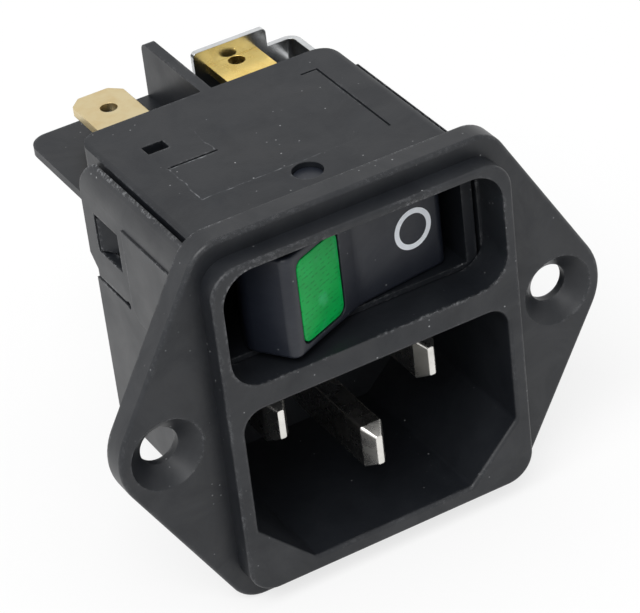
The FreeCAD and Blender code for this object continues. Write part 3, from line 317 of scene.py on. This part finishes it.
# %% Draw the witness line on the case
# Each box of the field by its front left and its back right corner, in mm.
WITNESS_BOXES = (((-3.8, 6.4), (8.65, 18.04)), ((-8.2, 6.4), (8.65, 12.04)))
WITNESS_HALF_WIDTH = 0.045 * MM
WITNESS_SHAKE = 0.8 * MM
FADE_BACK = (17.0 * MM, 12.5 * MM)      # gone, whole
FADE_RIGHT = (6.0 * MM, -1.0 * MM)
tree = case_plastic.node_tree
plain, colour_socket = base_colour_of(case_plastic)
place = on_object(tree)
axes = add(tree, "SeparateXYZ", inputs={0: place}).outputs
fields = []
for front_left, back_right in WITNESS_BOXES:
    sides = []
    for axis, (low, high) in enumerate(zip(front_left, back_right)):
        away = maths(tree, "ABSOLUTE", maths(tree, "SUBTRACT", axes[axis], (low + high) / 2 * MM))
        sides.append(maths(tree, "SUBTRACT", away, (high - low) / 2 * MM))
    fields.append(maths(tree, "MAXIMUM", *sides))
shake = maths(tree, "MULTIPLY_ADD", noise(tree, place, 2.5, 3.0), WITNESS_SHAKE,
              -WITNESS_SHAKE / 2)
off_line = maths(tree, "ABSOLUTE", maths(tree, "ADD", maths(tree, "MINIMUM", *fields), shake))
line = remap(tree, off_line, WITNESS_HALF_WIDTH * 1.6, WITNESS_HALF_WIDTH * 0.6)
left_over = remap(tree, noise(tree, place, 0.5, 4.0), 0.48, 0.72, 0.04, 0.7)
case_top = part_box("switch_case")[1].z
top_only = remap(tree, axes["Z"], case_top - 0.1 * MM, case_top - 0.05 * MM)
region = maths(tree, "MULTIPLY", remap(tree, axes["Y"], *FADE_BACK),
               remap(tree, axes["X"], *FADE_RIGHT))
faded = maths(tree, "MULTIPLY", maths(tree, "MULTIPLY", line, left_over), region)
kept = maths(tree, "MULTIPLY", faded, top_only)
tree.links.new(mix(tree, kept, plain, "#8C8F92"), colour_socket)

# %% [markdown]
# ## The rocker's smoother plastic
#
# The rocker is what fingers touch, so its mould was polished: the same family of plastic, a cooler
# black, with more gloss and hardly any grain.

# %% Rocker plastic
rocker_plastic = moulded_plastic("polished_black_rocker", ("#13161F", "#1A1F29"), 0.38, "#646A74",
                                 wear=0.35, grain_mm=0.3, specks=0.6, edge_mm=0.15)

# %% [markdown]
# ## Stamped metals
#
# The tabs and links are punched from strip. Rolling leaves fine lines along the strip, handling
# leaves duller smudges, and a sheared edge is a little rounded. A wave pattern would look drawn, so
# the rolling lines are a noise stretched along one axis by a Mapping node.

# %% Build the stamped strip metal
ROLLED, DRAWN = (1.0, 0.06, 1.0), (1, 1, 1)     # rolling lines run back, drawn wire has none


def strip_metal(name, colour, tarnish, roughness, stretch=ROLLED, line_mm=0.12, edge_mm=0.1):
    """Bare or plated metal: rolling lines, dull smudges and slightly rounded edges."""
    material, tree = blank_material(name)
    place = on_object(tree)
    along = add(tree, "Mapping", inputs={"Vector": place, "Scale": stretch}).outputs[0]
    smudge = noise(tree, place, 1.8, 5.0, Roughness=0.6)
    dull = remap(tree, smudge, 0.42, 0.72, high=0.5)
    rounded = add(tree, "Bevel", {"samples": 4}, {"Radius": edge_mm * MM}).outputs[0]
    skin = add(tree, "Bump", inputs={"Strength": 0.25, "Distance": 0.006 * MM,
                                     "Height": noise(tree, along, line_mm, 3.0),
                                     "Normal": rounded}).outputs[0]
    finish_material(tree, add(tree, "BsdfPrincipled", inputs={
        "Base Color": mix(tree, dull, colour, tarnish), "Metallic": 1.0, "Normal": skin,
        "Roughness": remap(tree, smudge, 0.3, 0.75, roughness, roughness + 0.14)}))
    return material


tab_brass = strip_metal("stamped_brass_bright", "#FFE088", "#E8BE55", 0.2)
tab_tinned = strip_metal("tinned_brass_warm", "#DFCEA3", "#D3B67E", 0.3)
link_tinned = strip_metal("bright_tinned_strip", "#D9DBDC", "#B9BBBD", 0.14, line_mm=0.2)
contact_brass = strip_metal("stamped_brass_contact", "#D9B45A", "#A9853A", 0.3)
pin_nickel = strip_metal("nickel_plated_brass_pin", "#EAE8E3", "#C2C0BA", 0.22, line_mm=0.15)
contact_silver = strip_metal("silver_contact_rivet", "#E4E3DF", "#B5B2AB", 0.25, DRAWN)
spring_steel = strip_metal("drawn_spring_steel", "#A9ABAD", "#85878A", 0.28, DRAWN, edge_mm=0.03)
lead_wire = strip_metal("tinned_copper_lead", "#D5D3CC", "#A9A69C", 0.3, DRAWN, edge_mm=0.03)

# %% [markdown]
# ## A tint at the punched corner
#
# Tin is thinnest where the punch went through, and brass shines through it there. On the left tab
# that is the far right corner. The distance to that corner fades a golden tint in, and the smudge
# noise keeps its border uneven.

# %% Let brass shine through the tin
TINT_REACH = (3.4 * MM, 0.6 * MM)       # gone, whole
tree = tab_tinned.node_tree
tinned, colour_socket = base_colour_of(tab_tinned)
place = on_object(tree)
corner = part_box("switched_terminal")[1].copy()
reach = add(tree, "VectorMath", {"operation": "DISTANCE"}, {0: place, 1: corner}).outputs["Value"]
uneven = remap(tree, noise(tree, place, 1.2, 4.0), 0.35, 0.65)
tint = maths(tree, "MULTIPLY", remap(tree, reach, *TINT_REACH), uneven)
tree.links.new(mix(tree, tint, tinned, "#DDA848"), colour_socket)

# %% [markdown]
# ## The small pieces inside
#
# They are hidden while the switch is whole, but the part is also looked at in pieces. A neon lamp
# is a glass tube, the resistor is lacquered ceramic with colour bands, and the plunger is natural
# nylon, which is milky because light wanders under its surface.

# %% Glass, ceramic and natural nylon
lamp_glass, tree = blank_material("clear_lamp_glass")
ripple = noise(tree, on_object(tree), 1.5)
wave = add(tree, "Bump", inputs={"Strength": 0.2, "Distance": 0.02 * MM, "Height": ripple})
finish_material(tree, add(tree, "BsdfPrincipled", inputs={
    "Base Color": linear("#FFF4EA"), "Roughness": 0.04, "IOR": 1.47, "Transmission Weight": 0.9,
    "Normal": wave.outputs[0]}))

BODY_TAN = "#C9B48A"
# The bands from the bottom up: where each begins, as a share of the height, and its colour.
BANDS = ((0.2, "#5A3A22"), (0.28, BODY_TAN), (0.38, "#1E1E1E"), (0.46, BODY_TAN), (0.56, "#C98A2A"),
         (0.64, BODY_TAN), (0.76, "#B59A45"), (0.84, BODY_TAN))
resistor_ceramic, tree = blank_material("lacquered_resistor")
height = add(tree, "SeparateXYZ", inputs={0: on_object(tree)}).outputs["Z"]
bottom, top = (end.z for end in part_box("lamp_resistor"))
bands = add(tree, "ValToRGB", inputs={0: remap(tree, height, bottom, top)})
ramp = bands.color_ramp
ramp.interpolation = "CONSTANT"
ramp.elements[0].color = linear(BODY_TAN)
ramp.elements.remove(ramp.elements[1])
for position, code in BANDS:
    ramp.elements.new(position).color = linear(code)
finish_material(tree, add(tree, "BsdfPrincipled", inputs={"Base Color": bands.outputs[0],
                                                          "Roughness": 0.3}))

plunger_nylon, tree = blank_material("natural_nylon")
cloud = noise(tree, on_object(tree), 0.8, 3.0)
finish_material(tree, add(tree, "BsdfPrincipled", inputs={
    "Base Color": mix(tree, cloud, "#E6E2D6", "#D6D0BF"), "Roughness": 0.42, "IOR": 1.53,
    "Subsurface Weight": 0.3, "Subsurface Scale": 0.4 * MM}))

# %% [markdown]
# ## Dress the CAD solids
#
# Each solid already names its finish in the part's record, so a small table from that finish to a
# Blender material is enough. The green window has no row: a piece of our own takes its place.

# %% Give each solid its material
finishes = {
    "housing_plastic": housing_plastic, "case_plastic": case_plastic,
    "plate_plastic": plate_plastic, "rocker_plastic": rocker_plastic, "lamp_glass": lamp_glass,
    "resistor_ceramic": resistor_ceramic, "lead_wire": lead_wire,
    "plunger_plastic": plunger_nylon, "spring_steel": spring_steel,
    "contact_brass": contact_brass, "contact_silver": contact_silver, "tab_brass": tab_brass,
    "tab_tinned": tab_tinned, "pin_nickel": pin_nickel, "link_tinned": link_tinned,
}
dressed = [part for part in frame["record"]["subparts"] if part["material_slot"] in finishes]
for part in dressed:
    for slot in nodes[part["node"]].material_slots:
        slot.material = finishes[part["material_slot"]]
print("dressed", len(dressed), "solids")

# %% [markdown]
# ## Find the rocker's two faces
#
# The window and the printed ring lie on the rocker's sloped faces. Rather than type those slopes
# again, we ask the solid: of all its flat patches, which one is largest in about this direction?

# %% Measure a flat face of a solid
ABOUT_THIS_WAY = 0.95       # cosine of the angle that still counts


def flat_face(solid, towards):
    """Middle and outward normal of a solid's largest flat patch that faces about this way."""
    towards = Vector(towards).normalized()
    groups = {}
    for polygon in solid.data.polygons:
        if polygon.normal.dot(towards) >= ABOUT_THIS_WAY:
            key = tuple(round(v, 2) for v in polygon.normal)
            groups.setdefault(key, []).append(polygon)
    patch = max(groups.values(), key=lambda faces: sum(f.area for f in faces))
    area = sum(f.area for f in patch)
    middle = sum((f.center * f.area for f in patch), Vector()) / area
    return middle, patch[0].normal.copy()


def on_face(middle, normal):
    """A frame on a face: X to the right, Y into the solid, Z up."""
    inward = -normal
    up = Vector((0, 0, 1))
    turn = Matrix((inward.cross(up), inward, up)).transposed().to_4x4()
    return Matrix.Translation(middle) @ turn


right_middle, right_normal = flat_face(nodes["rocker"], (0.12, -0.99, 0))
lens_middle, lens_normal = flat_face(nodes["rocker_lens"], (0.4, -0.91, 0))
print("right face leans", round(math.degrees(math.asin(right_normal.x)), 1), "degrees")
print("window leans", round(math.degrees(math.asin(lens_normal.x)), 1), "degrees")


# %% [markdown]
# ## Three steps that every new piece needs
#
# A piece is modelled at the origin. Then it is moved to its place, its faces are turned outwards,
# and it gets its material.

# %% Modelling helpers
def apply_transform():
    bpy.ops.object.transform_apply(location=True, rotation=True, scale=True)


def turn_faces_outwards():
    bpy.ops.object.mode_set(mode="EDIT")
    bpy.ops.mesh.select_all(action="SELECT")
    bpy.ops.mesh.normals_make_consistent(inside=False)
    bpy.ops.object.mode_set(mode="OBJECT")


def put_in_place(piece, matrix, material):
    piece.matrix_world = matrix
    apply_transform()
    piece.data.materials.append(material)
    bpy.ops.object.select_all(action="DESELECT")


# %% [markdown]
# ## The printed ring
#
# The "off" mark is pad printed: a thin film of light grey ink, dead flat, with a crisp edge. It
# could be a pattern in the rocker's material, but an own piece keeps its edge sharp at any
# distance. A filled circle is inset, its middle removed, and the ring is given the film's
# thickness.

# %% Print the ring
ink, tree = blank_material("pad_printing_ink")
cover = noise(tree, on_object(tree), 0.5, 3.0)
finish_material(tree, add(tree, "BsdfPrincipled", inputs={
    "Base Color": mix(tree, cover, "#E2E8F0", "#F4F7FB"), "Roughness": 0.5}))

RING_OUTER, RING_WIDTH, RING_FILM = 1.82 * MM, 0.47 * MM, 0.03 * MM
RING_X, RING_Z = 6.53 * MM, 9.51 * MM
RING_POINTS = 96
slide = (RING_X - right_middle.x) / -right_normal.y
ring_middle = right_middle + Vector((-right_normal.y, right_normal.x, 0)) * slide
ring_middle.z = RING_Z
bpy.ops.mesh.primitive_circle_add(vertices=RING_POINTS, radius=RING_OUTER, fill_type="NGON",
                                  rotation=(math.radians(90), 0, 0))
ring = bpy.context.object
ring.name = "off_ring"
bpy.ops.object.mode_set(mode="EDIT")
bpy.ops.mesh.inset(thickness=RING_WIDTH)
bpy.ops.mesh.delete(type="FACE")
bpy.ops.object.mode_set(mode="OBJECT")
apply_transform()
film_depth = ring.modifiers.new("film", "SOLIDIFY")
film_depth.thickness = RING_FILM
film_depth.offset = 0.0
bpy.ops.object.modifier_apply(modifier="film")
turn_faces_outwards()
put_in_place(ring, on_face(ring_middle, right_normal), ink)
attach(ring, "switch_rocker")
print("ring has", len(ring.data.polygons), "faces")

# %% [markdown]
# ## The green window
#
# The window is a thick pane of green acrylic pressed into the rocker, with a hairline of shadow
# round it. Its face is smooth, and its back is moulded into rows of small prisms that spread the
# lamp's light: from outside they show as faint rows of dashes. The colour is drawn from those rows,
# broken up by noise, with a few milky patches where the moulding cooled unevenly.

# %% Acrylic with its rows of prisms
PRISM_PITCH = 0.45 * MM
WAVE_SCALE = math.pi / 10       # a wave texture repeats this often per unit at scale 1
acrylic, tree = blank_material("translucent_green_acrylic")
place = on_object(tree)
depth = mix(tree, noise(tree, place, 1.6), "#009040", "#08B455")
rows = add(tree, "TexWave", {"bands_direction": "Z"},
           {"Vector": place, "Scale": WAVE_SCALE / PRISM_PITCH, "Distortion": 0.6, "Detail": 2.0})
crest = remap(tree, rows.outputs["Fac"], 0.62, 0.95)
broken = remap(tree, noise(tree, place, 0.4), 0.46, 0.62)
row_marks = maths(tree, "MULTIPLY", maths(tree, "MULTIPLY", crest, broken), 0.55)
milky = remap(tree, noise(tree, place, 2.2, 3.0), 0.58, 0.72, high=0.4)
green = mix(tree, milky, mix(tree, row_marks, depth, "#00632B"), "#4DB98A")
soft = add(tree, "Bevel", {"samples": 6}, {"Radius": 0.08 * MM}).outputs[0]
finish_material(tree, add(tree, "BsdfPrincipled", inputs={
    "Base Color": green, "Roughness": 0.28, "IOR": 1.45, "Specular IOR Level": 0.15,
    "Transmission Weight": 0.1, "Subsurface Weight": 0.3, "Subsurface Scale": 0.4 * MM,
    "Normal": soft}))

# %% Mould the pane
PANE_W, PANE_H, PANE_T = 5.22 * MM, 7.56 * MM, 0.9 * MM
PANE_SUNK = 0.1 * MM
CORNER_R, FACE_R = 0.8 * MM, 0.12 * MM
bpy.ops.mesh.primitive_cube_add(size=1.0)
pane = bpy.context.object
pane.name = "green_window"
pane.scale = (PANE_W, PANE_T, PANE_H)
apply_transform()
mesh = pane.data


def select_in(mesh, kind, test):
    """Select only the points, edges or faces of a mesh that pass a test, and go to edit mode."""
    bpy.ops.object.mode_set(mode="EDIT")
    bpy.ops.mesh.select_mode(type=kind)
    bpy.ops.mesh.select_all(action="DESELECT")
    bpy.ops.object.mode_set(mode="OBJECT")
    for item in {"VERT": mesh.vertices, "EDGE": mesh.edges, "FACE": mesh.polygons}[kind]:
        item.select = test(item)
    bpy.ops.object.mode_set(mode="EDIT")


def runs_back(edge):
    a, b = (mesh.vertices[i].co for i in edge.vertices)
    return abs(a.y - b.y) > PANE_T / 2


def faces_front(face):
    return face.normal.y < -0.99


select_in(mesh, "EDGE", runs_back)
bpy.ops.mesh.bevel(offset=CORNER_R, segments=8, affect="EDGES")
select_in(mesh, "FACE", faces_front)
bpy.ops.mesh.region_to_loop()
bpy.ops.mesh.bevel(offset=FACE_R, segments=4, affect="EDGES")

# %% [markdown]
# The prisms are cut with the bisect tool: one cut for every valley and every crest, and one near
# each side so that the rim stays straight. Every second row of the new points is then pushed into
# the pane.

# %% Cut the prisms into the back of the pane
PRISM_IN, PRISM_DEPTH = 0.5 * MM, 0.22 * MM
ROWS_EACH_WAY = 13
CLOSE = 0.001 * MM
rows_up = [i * PRISM_PITCH / 2 for i in range(-ROWS_EACH_WAY, ROWS_EACH_WAY + 1)]
cuts = [((0, 0, z), (0, 0, 1)) for z in rows_up]
cuts += [((side * (PANE_W / 2 - PRISM_IN), 0, 0), (1, 0, 0)) for side in (-1, 1)]
for point, normal in cuts:
    bpy.ops.mesh.select_all(action="SELECT")
    bpy.ops.mesh.bisect(plane_co=point, plane_no=normal)
valleys = rows_up[1::2]


def in_a_valley(vertex):
    on_back = vertex.co.y > PANE_T / 2 - CLOSE
    inside = abs(vertex.co.x) < PANE_W / 2 - PRISM_IN + CLOSE
    return on_back and inside and any(abs(vertex.co.z - z) < CLOSE for z in valleys)


select_in(mesh, "VERT", in_a_valley)
bpy.ops.transform.translate(value=(0, -PRISM_DEPTH, 0))
turn_faces_outwards()
bpy.ops.object.shade_smooth_by_angle(angle=math.radians(20))
sink = Matrix.Translation((0, PANE_T / 2 + PANE_SUNK, 0))
put_in_place(pane, on_face(lens_middle, lens_normal) @ sink, acrylic)
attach(pane, "switch_rocker")
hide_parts("rocker_lens")
print("window has", len(mesh.polygons), "faces and", len(valleys), "prism valleys")

# %% [markdown]
# ## Compression springs
#
# Two long springs press the rocker's lamp contacts, and a short one pushes its plunger. Springs of
# this kind are wound with their end turns closed, so that they stand flat. We wind each one in
# three runs: a closed turn, the open turns, and a closed turn again. Each run starts as a circle of
# wire beside the axis, which the Screw modifier carries round and along. Whole turns end where the
# next run starts, so the three join without a step.

# %% Wind a spring
WIRE_SIDES, STEPS_PER_TURN = 10, 28
CLOSED_RISE = 1.02      # of a closed turn, in wire thicknesses, so that turns don't quite touch
WELD = 0.0005 * MM


def wind_spring(name, node, axis, wire, turns):
    """A spring in the place of a CAD node: its box gives the size, axis its direction."""
    low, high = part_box(node)
    size = high - low
    diameter = size.z
    axis = Vector(axis).normalized()
    length = (size.y - diameter * abs(axis.x)) / axis.y
    closed = wire * CLOSED_RISE
    open_rise = length - wire - 2 * closed
    start = wire / 2
    runs = []
    for rise, round_turns in ((closed, 1), (open_rise, turns - 2), (closed, 1)):
        bpy.ops.mesh.primitive_circle_add(vertices=WIRE_SIDES, radius=wire / 2,
                                          location=((diameter - wire) / 2, start, 0))
        run = bpy.context.object
        apply_transform()
        screw = run.modifiers.new("wind", "SCREW")
        screw.axis = "Y"
        screw.angle = math.tau * round_turns
        screw.screw_offset = rise
        screw.steps = screw.render_steps = STEPS_PER_TURN * round_turns
        bpy.ops.object.modifier_apply(modifier="wind")
        runs.append(run)
        start += rise
    bpy.ops.object.select_all(action="DESELECT")
    for run in runs:
        run.select_set(True)
    bpy.context.view_layer.objects.active = runs[0]
    bpy.ops.object.join()
    spring = bpy.context.object
    spring.name = name
    bpy.ops.object.mode_set(mode="EDIT")
    bpy.ops.mesh.select_all(action="SELECT")
    bpy.ops.mesh.remove_doubles(threshold=WELD)
    bpy.ops.mesh.fill_holes(sides=WIRE_SIDES)
    turn_faces_outwards()
    bpy.ops.object.shade_smooth_by_angle(angle=math.radians(50))
    middle = (low + high) / 2
    turn = Matrix.Rotation(math.atan2(-axis.x, axis.y), 4, "Z")
    centred = Matrix.Translation((0, -length / 2, 0))
    put_in_place(spring, Matrix.Translation(middle) @ turn @ centred, spring_steel)
    print(name, round(length / MM, 2), "mm long,", len(spring.data.polygons), "faces")
    return spring, middle, axis, length


# %% [markdown]
# Each spring takes the place of its CAD solid, which is hidden: the lamp springs ride on the module
# and the plunger's spring on the rocker. With the switch on, the real rocker pushes the live lamp
# spring to two thirds of its length, and the plunger's spring gives way by the plunger's travel and
# a hair more; here all three keep their rest length.

# %% The three springs
BACK = (0, 1, 0)
LAMP_WIRE, PLUNGER_WIRE = 0.25 * MM, 0.3 * MM
LAMP_TURNS, PLUNGER_TURNS = 9, 7
slide = next(j for j in frame["record"]["behaviour"]["joints"] if j["name"] == "plunger_slide")

spring, middle, axis, length = wind_spring("lamp_spring_live_wound", "lamp_spring_live", BACK,
                                           LAMP_WIRE, LAMP_TURNS)
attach(spring, "module")
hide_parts("lamp_spring_live")
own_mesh(spring)

spring, middle, axis, length = wind_spring("lamp_spring_neutral_wound", "lamp_spring_neutral", BACK,
                                           LAMP_WIRE, LAMP_TURNS)
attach(spring, "module")
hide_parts("lamp_spring_neutral")

spring, middle, axis, length = wind_spring("plunger_spring_wound", "plunger_spring", slide["axis"],
                                           PLUNGER_WIRE, PLUNGER_TURNS)
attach(spring, "switch_rocker")
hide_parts("plunger_spring")
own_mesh(spring)
